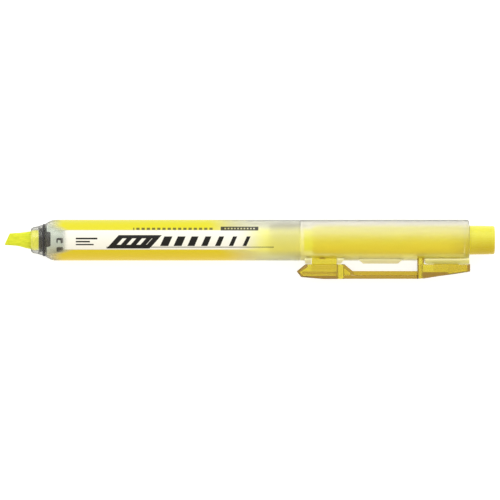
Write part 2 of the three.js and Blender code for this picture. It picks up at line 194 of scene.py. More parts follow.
def slab(name, corners, half, edge=0.0, arc_steps=4):
    """Extrudes an outline of (station, depth[, corner radius]) across the pen, with its rims rounded."""
    bm = bmesh.new()
    outline = rounded(corners, arc_steps)
    low = [bm.verts.new((x, -depth, -half)) for x, depth in outline]
    high = [bm.verts.new((x, -depth, half)) for x, depth in outline]
    bm.faces.new(low)
    bm.faces.new(high)
    for k in range(len(outline)):
        n = (k + 1) % len(outline)
        bm.faces.new((low[k], low[n], high[n], high[k]))
    if edge:
        round_rims(bm, edge)
    return from_bmesh(name, bm)


def round_rims(bm, radius):
    """Rounds the edges that run around the two flat sides of a slab."""
    rims = [line for line in bm.edges if abs(line.verts[0].co.z - line.verts[1].co.z) < NOTHING]
    bmesh.ops.recalc_face_normals(bm, faces=bm.faces)
    how = {"segments": 4, "profile": 0.5, "affect": "EDGES", "clamp_overlap": True}
    bmesh.ops.bevel(bm, geom=rims, offset=radius, **how)


def block(name, front, back, inner, outer, half, edge=0.0):
    """A slab between two stations and two depths."""
    return slab(name, [(front, inner), (back, inner), (back, outer), (front, outer)], half, edge)


def shift(piece, z):
    """Moves an unplaced piece towards the reader."""
    piece.location.z = z
    return piece


def settle(piece):
    """Applies every modifier of a piece."""
    graph = bpy.context.evaluated_depsgraph_get()
    mesh = bpy.data.meshes.new_from_object(piece.evaluated_get(graph))
    piece.modifiers.clear()
    old = piece.data
    piece.data = mesh
    bpy.data.meshes.remove(old)
    return piece


def combine(piece, operation, *tools):
    """Joins, cuts or intersects a piece with closed tools, which are used up."""
    for tool in tools:
        boolean = piece.modifiers.new("combine", "BOOLEAN")
        boolean.operation = operation
        boolean.solver = "EXACT"
        boolean.object = tool
        settle(piece)
        bpy.data.objects.remove(tool)
    return piece


def placed(piece, body, finish, *nodes, crease=32):
    """Moves a finished piece into the row frame, shades it smooth, gives it its material, hangs it on its
    body if it has one and hides the CAD nodes that it stands for.
    """
    material, slot = finish
    mesh = piece.data
    mesh.transform(PEN)
    mesh.polygons.foreach_set("use_smooth", [True] * len(mesh.polygons))
    mesh.set_sharp_from_angle(angle=math.radians(crease))
    mesh.materials.append(material)
    if body:
        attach(piece, body)
    if nodes:
        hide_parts(*nodes)
    return piece


def round_part(name, outline, body, finish, arc_steps=4):
    """A turned piece that stands for the CAD node of its own name."""
    return placed(turned(name, outline, arc_steps=arc_steps), body, finish, name)


# ---- Material tools ----


class Paint:
    """One material and short names for its nodes."""

    def __init__(self, name, **sockets):
        self.material = bpy.data.materials.new(name)
        self.material.use_nodes = True
        self.tree = self.material.node_tree
        self.shader = self.tree.nodes["Principled BSDF"]
        self.output = self.tree.nodes["Material Output"]
        for socket, value in sockets.items():
            self.shader.inputs[socket.replace("_", " ")].default_value = value
        self.place = self.pen_coordinates()

    def add(self, kind, inputs=(), **settings):
        node = self.tree.nodes.new(kind)
        for setting, value in settings.items():
            setattr(node, setting, value)
        for socket, value in dict(inputs).items():
            self.feed(node.inputs[socket], value)
        return node

    def feed(self, socket, value):
        if isinstance(value, bpy.types.NodeSocket):
            self.tree.links.new(value, socket)
        else:
            socket.default_value = value

    def drive(self, socket, value):
        self.feed(self.shader.inputs[socket], value)

    def math(self, operation, *values, clamp=False):
        node = self.add("ShaderNodeMath", operation=operation, use_clamp=clamp)
        for socket, value in zip(node.inputs, values):
            self.feed(socket, value)
        return node.outputs[0]

    def sum(self, a, b):
        return self.math("ADD", a, b)

    def times(self, a, b):
        return self.math("MULTIPLY", a, b)

    def rest(self, share):
        """What the share leaves of 1."""
        return self.math("SUBTRACT", 1.0, share)

    def step(self, value, start, end):
        """0 before start and 1 after end, with a smooth rise between."""
        node = self.add("ShaderNodeMapRange", interpolation_type="SMOOTHSTEP")
        self.feed(node.inputs["Value"], value)
        node.inputs["From Min"].default_value = min(start, end)
        node.inputs["From Max"].default_value = max(start, end)
        node.inputs["To Min"].default_value = 0 if start < end else 1
        node.inputs["To Max"].default_value = 1 if start < end else 0
        return node.outputs["Result"]

    def band(self, value, low, high, soft=0.06):
        """1 between low and high, with soft edges."""
        rise = self.step(value, low - soft, low + soft)
        fall = self.step(value, high + soft, high - soft)
        return self.times(rise, fall)

    def patch(self, along, start, end, across, low, high, soft=0.06):
        """1 inside a rectangle from start to end and from low to high."""
        return self.times(self.band(across, low, high, soft), self.band(along, start, end))

    def within(self, value, start, pitch):
        """How far through its pitch a value is, from 0 to 1, in a row of pitches that begins at start."""
        return self.math("FRACT", self.math("DIVIDE", self.sum(value, -start), pitch))

    def mix(self, share, one, two):
        """Goes from the one colour to the other. A mix node's colour sockets are its 6th and 7th."""
        return self.add("ShaderNodeMix", {0: share, 6: one, 7: two}, data_type="RGBA").outputs[2]

    def pen_coordinates(self):
        """The point in pen millimetres, as a vector."""
        where, turn, size = PEN.inverted().decompose()
        coordinates = self.add("ShaderNodeTexCoord")
        mapping = self.add("ShaderNodeMapping", vector_type="POINT")
        self.feed(mapping.inputs["Vector"], coordinates.outputs["Object"])
        mapping.inputs["Location"].default_value = where
        mapping.inputs["Rotation"].default_value = turn.to_euler()
        mapping.inputs["Scale"].default_value = size
        return mapping.outputs["Vector"]

    def axes(self):
        """The point's x, y and z in pen millimetres."""
        return self.add("ShaderNodeSeparateXYZ", {"Vector": self.place}).outputs[:]

    def noise(self, scale, detail=3.0, roughness=0.55, squeeze=None):
        """Cloudy noise. A share below 1 in squeeze draws it out along that axis of the pen's frame."""
        vector = self.place
        if squeeze:
            sockets = {0: vector, 1: squeeze}
            vector = self.add("ShaderNodeVectorMath", sockets, operation="MULTIPLY").outputs[0]
        sockets = {"Vector": vector, "Scale": scale, "Detail": detail, "Roughness": roughness}
        return self.add("ShaderNodeTexNoise", sockets).outputs["Fac"]

    def bump(self, height, distance, strength=1.0):
        """Relief of a height map, whose full range is distance metres."""
        sockets = {"Height": height, "Distance": distance, "Strength": strength}
        self.drive("Normal", self.add("ShaderNodeBump", sockets).outputs[0])

    def vary(self, socket, value, low, high):
        """Drives a socket between two values by a 0 to 1 pattern."""
        node = self.add("ShaderNodeMapRange", {"Value": value})
        node.inputs["To Min"].default_value = low
        node.inputs["To Max"].default_value = high
        self.drive(socket, node.outputs["Result"])

    def rim(self, start, end):
        """0 where the surface faces the viewer and 1 where it is seen edge-on."""
        facing = self.add("ShaderNodeLayerWeight", {"Blend": 0.5}).outputs["Facing"]
        return self.step(facing, start, end)

    def absorb(self, colour, density):
        volume = self.add("ShaderNodeVolumeAbsorption", {"Color": colour, "Density": density})
        self.tree.links.new(volume.outputs[0], self.output.inputs["Volume"])


# ---- Materials ----

CLEAR = (0.87, 0.88, 0.83, 1)
# Painted shade: the clear plastic darker and warmer on the clip's side
CLEAR_SHADE_BELOW = (0.72, 0.66, 0.46, 1)
HAZY = (0.98, 0.98, 0.88, 1)
# Painted light: frosted plastic turned yellow by the clip and slider below it
HAZY_YELLOW_LIGHT = (0.96, 0.94, 0.54, 1)
# Painted shade for rims seen edge-on
RIM_SHADE = (0.05, 0.05, 0.06, 1)
INK_YELLOW = (0.67, 0.62, 0.010, 1)
# Painted shade: the yellow ink darker and warmer on the clip's side
INK_GOLD_SHADE = (0.70, 0.51, 0.004, 1)
INK_SHADED = (0.60, 0.57, 0.008, 1)
INK_BRIGHT = (0.75, 0.68, 0.02, 1)
INK_WHITE = (0.87, 0.87, 0.82, 1)
INK_BLACK = (0.004, 0.004, 0.004, 1)


def clear_plastic():
    paint = Paint("clear_plastic", Transmission_Weight=1.0, IOR=1.49)
    # Painted shade: the rims seen edge-on are darkened
    colour = paint.mix(paint.times(paint.rim(0.34, 0.66), 0.92), CLEAR, RIM_SHADE)
    paint.drive("Base Color", colour)
    paint.vary("Roughness", paint.noise(0.8), 0.04, 0.12)
    paint.bump(paint.noise(1.6, squeeze=(0.6, 3, 3)), 0.00002, 0.5)
    paint.absorb((0.42, 0.40, 0.32, 1), 210.0)
    return paint.material


def printed_plastic():
    """The front barrel's outside: clear at the nose and frosted at the rear, with the print between."""
    paint = Paint("printed_plastic", IOR=1.49, Specular_IOR_Level=0.3)
    x, y, z = paint.axes()
    # The distance around the barrel from the middle of the printed side, positive away from the clip
    around = paint.times(paint.math("ARCTAN2", y, z), BARREL_R)
    # The ink is on the outside only, not on the bore
    from_axis = paint.math("SQRT", paint.sum(paint.times(y, y), paint.times(z, z)))
    outside = paint.step(from_axis, 5.4, 5.6)
    layers = (*field_and_label(paint, x, around), graphics(paint, x, around))
    field, label, black = [paint.times(layer, outside) for layer in layers]
    grain = paint.noise(1.3, 4)
    colour = paint.mix(field, bare_barrel(paint, x, y), yellow_ink(paint, around, grain))
    colour = paint.mix(label, colour, INK_WHITE)
    colour = paint.mix(black, colour, INK_BLACK)
    paint.drive("Base Color", colour)
    frosting = paint.step(x, -45, 5)
    cover = paint.math("MAXIMUM", paint.math("MAXIMUM", field, label), black)
    see_through = paint.math("SUBTRACT", 1.0, paint.times(cover, 0.97), clamp=True)
    haze = paint.times(see_through, paint.rest(paint.times(frosting, 0.10)))
    paint.drive("Transmission Weight", haze)
    bare = paint.sum(0.10, paint.times(frosting, 0.22))
    inked = paint.sum(0.30, paint.times(grain, 0.12))
    fade = paint.times(cover, paint.math("SUBTRACT", inked, bare))
    paint.drive("Roughness", paint.sum(bare, fade))
    paint.bump(paint.sum(paint.times(cover, 0.6), paint.times(grain, 0.25)), 0.00003, 0.6)
    paint.absorb((0.5, 0.5, 0.42, 1), 70.0)
    return paint.material


def field_and_label(paint, x, around):
    """Where the yellow field and the white band are printed."""
    strip = paint.band(around, -2.92, 3.05, 0.14)
    # The yellow starts further back beside the band than at the barrel's edges, most on the clip's side
    beside = paint.step(paint.math("ABSOLUTE", around), 4.9, 3.1)
    delay = paint.sum(2.0, paint.times(paint.step(around, 0.5, -0.5), 1.4))
    onset = paint.step(paint.math("SUBTRACT", x, paint.times(beside, delay)), -60.9, -55.3)
    # It ends further back on the clip's side
    later = paint.times(paint.step(around, -1.0, -5.0), 4.6)
    field = paint.times(onset, paint.step(paint.math("SUBTRACT", x, later), 3.0, -13.0))
    field = paint.times(field, paint.rest(strip))
    label = paint.times(strip, paint.times(paint.step(x, -56.2, -53.8), paint.step(x, 6.0, -4.4)))
    return field, label


def bare_barrel(paint, x, y):
    """The plastic's colour, with painted shade and painted yellow light on the clip's side, and painted
    shade in dark outlines where it is seen edge-on.
    """
    # Painted shade: darker and warmer towards the clip
    nose = paint.mix(paint.step(y, -1.0, -5.0), CLEAR, CLEAR_SHADE_BELOW)
    nose = paint.mix(paint.times(paint.rim(0.42, 0.74), 0.88), nose, RIM_SHADE)
    # Painted light: yellow towards the clip, whiter away from it
    rear = paint.mix(paint.step(y, 1.0, -4.5), HAZY, HAZY_YELLOW_LIGHT)
    # Painted shade: dark outlines where the barrel is seen edge-on, strongest on the side away from the
    # clip
    edges = paint.times(paint.rim(0.48, 0.82), paint.sum(0.12, paint.times(paint.step(y, 0, 3), 0.55)))
    rear = paint.mix(edges, rear, RIM_SHADE)
    return paint.mix(paint.step(x, -54, -30), nose, rear)


def yellow_ink(paint, around, grain):
    """Yellow that turns to gold towards the clip and darker at the far edge: painted shade."""
    # Painted shade towards the clip, then towards the far edge
    yellow = paint.mix(paint.step(around, 1.5, -6.0), INK_YELLOW, INK_GOLD_SHADE)
    yellow = paint.mix(paint.step(around, 4.6, 7.5), yellow, INK_SHADED)
    return paint.mix(paint.times(grain, 0.3), yellow, INK_BRIGHT)


def graphics(paint, x, around):
    """Plain bars, a slanted flash and hatching on the white band. It says nothing."""
    height = paint.sum(around, 0.25)
    flash_x = paint.sum(x, paint.times(around, -0.9))
    hatch_x = paint.sum(x, paint.times(height, -0.45))

    # A flash with a row of openings
    flash = paint.patch(flash_x, -40.2, -27.4, height, -2.35, 1.75)
    openings = paint.band(paint.within(flash_x, -38.2, 2.9), 0.0, 0.42, 0.03)
    openings = paint.times(openings, paint.patch(flash_x, -38.6, -29.3, height, -1.15, 0.75))
    flash = paint.times(flash, paint.rest(openings))

    # Hatching whose bars get thinner towards the rear
    share = paint.sum(0.62, paint.times(paint.step(x, -26, 2), -0.36))
    hatching = paint.math("LESS_THAN", paint.within(hatch_x, -26.0, 4.1), share)
    hatching = paint.times(hatching, paint.patch(hatch_x, -25.9, 1.6, height, -1.55, 1.35))

    # A line under both, and three short bars near the nose
    layers = [flash, hatching, paint.patch(x, -42.6, 7.2, height, -2.0, -1.78, 0.04)]
    for end, low, high in ((-45.2, 0.45, 0.95), (-47.4, -0.45, 0.0), (-46.3, -1.3, -0.9)):
        layers.append(paint.patch(x, -51.6, end, height, low, high, 0.05))

    # Dashes on the yellow, and a plate of dots behind them
    dashes = paint.band(paint.within(x, -40.0, 1.55), 0.1, 0.72, 0.03)
    dashes = paint.times(dashes, paint.patch(x, -34.6, -10.6, height, 3.4, 4.2, 0.05))
    layers.append(paint.times(dashes, 0.8))
    dots = paint.band(paint.within(x, -20.0, 0.95), 0.2, 0.7, 0.05)
    dots = paint.times(dots, paint.patch(x, -7.6, 1.6, height, 3.65, 4.15, 0.05))
    plate = paint.patch(x, -8.6, 2.6, height, 3.2, 4.6)
    layers.append(paint.times(plate, paint.math("SUBTRACT", 0.95, paint.times(dots, 0.6))))

    total = layers[0]
    for layer in layers[1:]:
        total = paint.math("MAXIMUM", total, layer)
    return total


def frosted_plastic():
    """Frosted tube, with painted yellow light from the clip and slider, most of all on the clip's side."""
    paint = Paint("frosted_plastic", IOR=1.32)
    x, y, z = paint.axes()
    grain = paint.noise(2.2, 5)
    # Painted light: the tube turns yellow towards the clip
    underside = paint.step(y, 5.0, -5.0)
    shell = paint.mix(underside, (0.975, 0.962, 0.91, 1), (0.995, 0.95, 0.50, 1))
    # Painted shade: dark outlines where the tube is seen edge-on, on the side away from the clip
    edges = paint.times(paint.rim(0.40, 0.74), paint.times(paint.step(y, 0, 3), 0.8))
    shell = paint.mix(edges, shell, RIM_SHADE)
    # The lugs, the pad and the boss, which stand out from the tube on the clip's side, get painted yellow
    # light from the clip around them
    ribs_yellow_light = paint.mix(paint.step(x, 46.5, 51), (0.82, 0.76, 0.44, 1), (0.82, 0.79, 0.28, 1))
    ribs_only = paint.step(y, -5.7, -6.3)
    paint.drive("Base Color", paint.mix(ribs_only, shell, ribs_yellow_light))
    # The spigot is smoother than the rest, and a pale ring shows where the tube thickens behind it. The
    # side away from the clip is made hazier: a painted highlight.
    spigot = paint.step(x, SEAM + 0.1, SEAM - 0.1)
    shoulder = paint.times(paint.band(x, SEAM + 0.05, SEAM + 1.2, 0.15), 0.22)
    veil_and_highlight = paint.sum(paint.times(paint.step(y, -1.0, 4.0), 0.14), shoulder)
    see_through = paint.math("SUBTRACT", 0.985, paint.sum(veil_and_highlight, paint.times(ribs_only, 0.42)))
    paint.drive("Transmission Weight", see_through)
    frost = paint.sum(0.26, paint.times(grain, 0.10))
    paint.drive("Roughness", paint.math("SUBTRACT", frost, paint.times(spigot, 0.16)))
    paint.bump(paint.noise(2.5, 2), 0.00002, 0.5)
    paint.absorb((0.5, 0.5, 0.42, 1), 12.0)
    return paint.material


def milky_plastic():
    """Pale cloudy plastic that lets a little light through, with a faint painted glow."""
    # Painted light: a faint glow that brightens the chamber
    painted_glow = {"Emission_Color": (0.75, 0.95, 1.0, 1), "Emission_Strength": 0.13}
    paint = Paint("milky_plastic", IOR=1.5, Transmission_Weight=0.12, **painted_glow)
    cloud = paint.noise(0.9, 4)
    colour = paint.mix(cloud, (0.93, 0.97, 0.90, 1), (0.98, 0.99, 0.94, 1))
    paint.drive("Base Color", colour)
    paint.vary("Roughness", paint.noise(2.5), 0.22, 0.36)
    paint.bump(paint.noise(2.0, 2), 0.00002, 0.4)
    return paint.material


def black_rubber():
    paint = Paint("black_rubber", IOR=1.5)
    dust = paint.noise(3.0, 6)
    colour = paint.mix(dust, (0.012, 0.012, 0.015, 1), (0.03, 0.03, 0.034, 1))
    paint.drive("Base Color", colour)
    paint.vary("Roughness", dust, 0.38, 0.6)
    paint.bump(paint.noise(12, 4), 0.00001, 0.7)
    return paint.material


def spring_steel():
    paint = Paint("spring_steel", Metallic=1.0, Base_Color=(0.60, 0.61, 0.63, 1))
    drawn = paint.noise(6, 5)
    paint.vary("Roughness", drawn, 0.2, 0.42)
    paint.bump(drawn, 0.000008, 0.6)
    return paint.material


def nib_fibre():
    """Bonded fibres that run along the nib, soaked in ink and a little darker at the edge that writes."""
    paint = Paint("nib_fibre", IOR=1.4)
    x, y, z = paint.axes()
    strands = paint.noise(1.9, 6, 0.7, squeeze=(0.05, 1.0, 1.0))
    strands = paint.step(strands, 0.3, 0.7)
    blotch = paint.noise(0.55, 3)
    colour = paint.mix(strands, (0.54, 0.62, 0.012, 1), (0.80, 0.82, 0.05, 1))
    colour = paint.mix(paint.times(blotch, 0.35), colour, (0.68, 0.74, 0.02, 1))
    worn = paint.step(x, NIB_TIP + 2.2, NIB_TIP)
    colour = paint.mix(paint.times(worn, 0.3), colour, (0.58, 0.62, 0.01, 1))
    paint.drive("Base Color", colour)
    paint.vary("Roughness", strands, 0.6, 0.95)
    paint.bump(strands, 0.00008, 0.8)
    return paint.material


def ink_fibre():
    paint = Paint("ink_fibre", IOR=1.4)
    strands = paint.noise(3, 5, 0.65, squeeze=(0.05, 2.4, 2.4))
    colour = paint.mix(strands, (0.58, 0.62, 0.012, 1), (0.74, 0.76, 0.04, 1))
    paint.drive("Base Color", colour)
    paint.vary("Roughness", strands, 0.55, 0.9)
    paint.bump(strands, 0.00006, 0.7)
    return paint.material


def wrap_film():
    paint = Paint("wrap_film", Transmission_Weight=1.0, IOR=1.45, Base_Color=(0.95, 0.96, 0.88, 1))
    crinkle = paint.noise(1.4, 4, squeeze=(0.4, 1, 1))
    paint.vary("Roughness", crinkle, 0.08, 0.25)
    paint.bump(crinkle, 0.00004, 0.5)
    return paint.material


def tinted_plastic():
    """Plastic full of fluorescent ink, with a painted glow that stands in for the ink's fluorescence and
    for light lost in the plastic around it.
    """
    # Painted light: the glow brightens the parts seen through the barrel
    painted_glow = {"Emission_Color": (0.95, 0.92, 0.10, 1), "Emission_Strength": 0.34}
    paint = Paint("tinted_plastic", IOR=1.5, Transmission_Weight=0.15, **painted_glow)
    stain = paint.noise(0.5, 4)
    x, y, z = paint.axes()
    colour = paint.mix(stain, (0.92, 0.92, 0.10, 1), (0.96, 0.94, 0.16, 1))
    # Painted shade: darker where the tube's rear end stands in the slider
    colour = paint.mix(paint.step(x, 15, 17), colour, (0.66, 0.68, 0.06, 1))
    paint.drive("Base Color", colour)
    paint.vary("Roughness", paint.noise(1.7), 0.12, 0.26)
    paint.bump(paint.noise(2.0, 3), 0.00002, 0.4)
    return paint.material


def yellow_plastic():
    """The button and its slider: fluorescent yellow with a painted glow, painted brighter inside the
    barrel and painted darker on the clip's side.
    """
    # Painted light: a glow that brightens the yellow
    painted_glow = {"Emission_Color": (0.95, 0.88, 0.03, 1), "Emission_Strength": 0.24}
    depth = {"Subsurface_Weight": 0.25, "Subsurface_Scale": 0.0012, "Subsurface_Radius": (1.0, 0.75, 0.10)}
    paint = Paint("yellow_plastic", IOR=1.5, Specular_IOR_Level=0.2, **painted_glow, **depth)
    x, y, z = paint.axes()
    cloud = paint.noise(0.45, 4)
    # Painted shade: darker and warmer towards the clip's side
    below = paint.step(y, 2.5, -4.4)
    # Outside the barrel: the plain colour
    out_of_barrel = paint.mix(cloud, (0.50, 0.49, 0.060, 1), (0.56, 0.54, 0.080, 1))
    out_of_barrel = paint.mix(below, out_of_barrel, (0.31, 0.18, 0.001, 1))
    # Inside the barrel: painted light, brighter than the plastic outside it
    lit_in_barrel = paint.mix(cloud, (0.66, 0.64, 0.11, 1), (0.72, 0.70, 0.14, 1))
    lit_in_barrel = paint.mix(below, lit_in_barrel, (0.72, 0.60, 0.024, 1))
    colour = paint.mix(paint.step(x, 57, 69.5), lit_in_barrel, out_of_barrel)
    paint.drive("Base Color", colour)
    paint.vary("Roughness", paint.noise(2, 5, squeeze=(0.3, 1.5, 1.5)), 0.2, 0.36)
    paint.bump(paint.noise(3.0, 4), 0.00002, 0.35)
    return paint.material


def amber_plastic():
    """The clip: clear amber that darkens with thickness."""
    paint = Paint("amber_plastic", Transmission_Weight=0.96, IOR=1.46, Base_Color=(0.99, 0.96, 0.5, 1))
    flow = paint.noise(0.9, 4, squeeze=(0.35, 1, 1))
    paint.vary("Roughness", flow, 0.03, 0.10)
    paint.bump(flow, 0.00005, 0.45)
    paint.absorb((0.925, 0.882, 0.0, 1), 2250.0)
    return paint.material


def table_top():
    paint = Paint("table_top", Specular_IOR_Level=0.1, Emission_Strength=0.82, Emission_Color=(1, 1, 1, 1))
    tooth = paint.noise(0.05, 4)
    colour = paint.mix(tooth, (0.40, 0.40, 0.40, 1), (0.44, 0.44, 0.44, 1))
    paint.drive("Base Color", colour)
    paint.vary("Roughness", tooth, 0.75, 0.9)
    return paint.material


# Each finish is a material and the name of its slot
CLEAR_PLASTIC = (clear_plastic(), "clear_plastic")
PRINTED_PLASTIC = (printed_plastic(), "clear_plastic")
FROSTED_PLASTIC = (frosted_plastic(), "frosted_plastic")
MILKY_PLASTIC = (milky_plastic(), "milky_plastic")
BLACK_RUBBER = (black_rubber(), "black_rubber")
SPRING_STEEL = (spring_steel(), "spring_steel")
NIB_FIBRE = (nib_fibre(), "nib_fibre")
INK_FIBRE = (ink_fibre(), "ink_fibre")
WRAP_FILM = (wrap_film(), "wrap_film")
TINTED_PLASTIC = (tinted_plastic(), "tinted_yellow_plastic")
YELLOW_PLASTIC = (yellow_plastic(), "yellow_plastic")
AMBER_PLASTIC = (amber_plastic(), "clip_plastic")

# ---- Barrel ----


def front_barrel():
    front, cone_end = BARREL_FRONT, -58.2
    mouth_r = 4.2
    outline = [
        (front, mouth_r, 0.12),
        (front, 4.84, 0.12),
        (-59.35, 5.80, 1.2),
        (cone_end, BARREL_R, 1.4),
        (SEAM, BARREL_R, 0.12),
        (SEAM, BORE_R, 0.08),
        (cone_end, BORE_R, 0.8),
        (-60.2, 4.52, 0.2),
        (-60.4, mouth_r, 0.1),
    ]
    return round_part("front_barrel", outline, "barrel", PRINTED_PLASTIC)


def rear_tube():
    guide_r = 4.45
    spigot_r = 5.0
    spigot_front = span("rear_barrel")[0]
    shoulder = SEAM + 0.1
    end_wall = REAR_END - 1.5
    outline = [
        (spigot_front, guide_r, 0.1),
        (spigot_front, spigot_r, 0.25),
        (shoulder, spigot_r),
        (shoulder, BARREL_R, 0.12),
        (REAR_END, BARREL_R, 0.85),
        (REAR_END, guide_r, 0.12),
        (end_wall, guide_r, 0.1),
        (end_wall, BORE_R, 0.3),
        (SEAM + 3.2, BORE_R, 0.5),
        (SEAM + 0.6, guide_r, 0.5),
    ]
    return turned("rear_barrel", outline)


def rear_barrel():
    """The frosted tube with the lugs, pad and boss that its clip works against."""
    root = 5.3
    pad_depth, lug_depth, boss_depth = 7.0, 7.03, 7.1
    lug_half = 2.85
    lug_edge = 0.06
    slot_front, slot_back = 18.3, 26.0
    pad = [(31.9, root), (33.8, pad_depth, 0.35), (44.2, pad_depth, 0.35), (46.1, root)]
    front_lug = [
        (16.5, root),
        (16.5, lug_depth, 0.3),
        (slot_front, lug_depth, 0.2),
        (slot_front, root),
    ]
    rear_lug = [(slot_back, root), (slot_back, lug_depth, 0.2), (27.2, lug_depth, 0.4), (28.5, root)]
    boss = [(52.2, root), (52.2, boss_depth, 1.1), (REAR_END, boss_depth, 0.15), (REAR_END, root)]
    piece = combine(
        rear_tube(),
        "UNION",
        slab("pad", pad, 2.35, 0.12),
        slab("lug", front_lug, lug_half, lug_edge),
        slab("lug", rear_lug, lug_half, lug_edge),
        slab("boss", boss, 2.58, 0.08, 8),
    )
    outer = 8.0
    combine(
        piece,
        "DIFFERENCE",
        block("claw_slot", slot_front, slot_back, 4.2, outer, 2.8, 0.25),
        block("heel_slot", 49.8, 52.1, 4.4, outer, 2.75, 0.2),
        block("foot_pocket", 54.5, 62.5, 6.3, outer, 1.5, 0.15),
    )
    return placed(piece, "barrel", FROSTED_PLASTIC, "rear_barrel")


def nozzle():
    front = NOZZLE_FRONT
    spigot_front, spigot_back, spigot_r = -61.62, -60.42, 4.12
    outline = [
        (front, 3.15, 0.1),
        (front, 3.45, 0.15),
        (front + 0.6, 3.9, 0.3),
        (-63.0, 4.2, 0.8),
        (spigot_front, 4.66, 0.1),
        (spigot_front, spigot_r),
        (spigot_back, spigot_r, 0.1),
        (spigot_back, 3.8, 0.08),
        (-62.7, 3.8, 0.1),
        (-62.7, 3.45, 0.1),
    ]
    return round_part("nozzle", outline, "barrel", CLEAR_PLASTIC)


def nose_gasket():
    front, back = span("nose_gasket")
    middle = (front + back) / 2
    bore, rim = 4.22, 4.78
    outline = [(front, bore), (front, rim, 0.1), (middle, 4.91, 0.1), (back, rim, 0.1), (back, bore)]
    return round_part("nose_gasket", outline, "barrel", BLACK_RUBBER)


# ---- Sealing chamber and valve ----


def seal_chamber():
    front, back = span("seal_chamber")
    shoulder, seat = -58.5, -34.6
    outer_r, bore, seat_r = 4.9, 4.25, 3.5
    outline = [
        (front, 3.95, 0.1),
        (front, 4.42, 0.15),
        (shoulder, outer_r, 0.5),
        (back, outer_r, 0.12),
        (back, 4.35, 0.1),
        (seat, 4.35),
        (seat, seat_r, 0.08),
        (seat - 1.2, seat_r, 0.08),
        (seat - 1.2, bore),
        (shoulder, bore, 0.4),
    ]
    piece = turned("seal_chamber", outline)
    # A thin key on the printed side, which stops the chamber turning
    key = slab("key", [(-58.4, -2.55), (-55.2, -2.55), (-55.2, -2.3), (-58.4, -2.3)], 0.5)
    combine(piece, "UNION", shift(key, 3.95))
    cutters = [chamber_opening(depth) for depth in (0.15, 2.75)]
    notch = slab("notch", [(-61, -2.5), (-59.05, -2.3, 0.5), (-59.05, 1.8, 0.5), (-61, 2.2)], 2.0)
    combine(piece, "DIFFERENCE", *cutters, shift(notch, 4.5))
    tongue = slab("tongue", [(-57.0, 0.0, 0.3), (-56.2, 0.0, 0.3), (-56.1, 1.2), (-57.1, 1.2)], 0.3)
    combine(piece, "UNION", shift(tongue, 4.55))
    return placed(piece, "barrel", MILKY_PLASTIC, "seal_chamber")


def chamber_opening(depth):
    """A rounded cutter through the chamber's wall on the printed side, around a depth."""
    front, back = -57.4, -55.3
    inner, outer = depth - 0.75, depth + 0.75
    corner = 0.5
    stations = [(front, inner), (back, inner), (back, outer), (front, outer)]
    return shift(slab("opening", [(*point, corner) for point in stations], 2.0), 4.5)


def chamber_cap():
    front, back = span("chamber_cap")
    plug_end = -31.55
    bore, plug_r, flange_r = 3.5, 4.25, 4.9
    outline = [
        (front, bore, 0.1),
        (front, plug_r, 0.15),
        (plug_end, plug_r),
        (plug_end, flange_r, 0.1),
        (back, flange_r, 0.1),
        (back, bore, 0.1),
    ]
    return round_part("chamber_cap", outline, "barrel", MILKY_PLASTIC)


def chamber_seal():
    front, back = span("chamber_seal")
    middle, section_r = (front + back) / 2, (back - front) / 2
    centre_r = 3.83
    sides = 20
    outline = []
    for k in range(sides):
        angle = 2 * math.pi * k / sides
        outline.append((middle + section_r * math.cos(angle), centre_r + section_r * math.sin(angle)))
    return round_part("chamber_seal", outline, "barrel", BLACK_RUBBER)


def valve_body():
    """The valve's rubber sleeve, with three grooves around it."""
    front, back = span("valve_body")
    bore, outer_r, groove_r = 3.56, 4.13, 3.98
    outline = [(front, bore), (front, 3.85, 0.1), (-58.7, outer_r, 0.5)]
    for groove in (-57.9, -56.9, -55.9):
        outline += [(groove - 0.2, outer_r, 0.1), (groove, groove_r, 0.1), (groove + 0.2, outer_r, 0.1)]
    outline += [(back, outer_r, 0.12), (back, bore)]
    return round_part("valve_body", outline, "barrel", BLACK_RUBBER)


LIP_BORE = 3.08
LIP_R = 3.49


def valve_ring():
    """The rubber ring around the nib holder that the two lips grow from."""
    bead_r, seat = 3.72, -60.36
    lip_root = -61.9
    outline = [
        (VALVE_FRONT, LIP_BORE, 0.1),
        (VALVE_FRONT, bead_r, 0.15),
        (-61.75, bead_r, 0.12),
        (-61.6, 3.58, 0.1),
        (-61.4, bead_r, 0.12),
        (seat, bead_r, 0.1),
        (seat, LIP_R),
        (lip_root, LIP_R),
        (lip_root, LIP_BORE),
    ]
    return placed(turned("valve_ring", outline), "barrel", BLACK_RUBBER, "valve_lips")


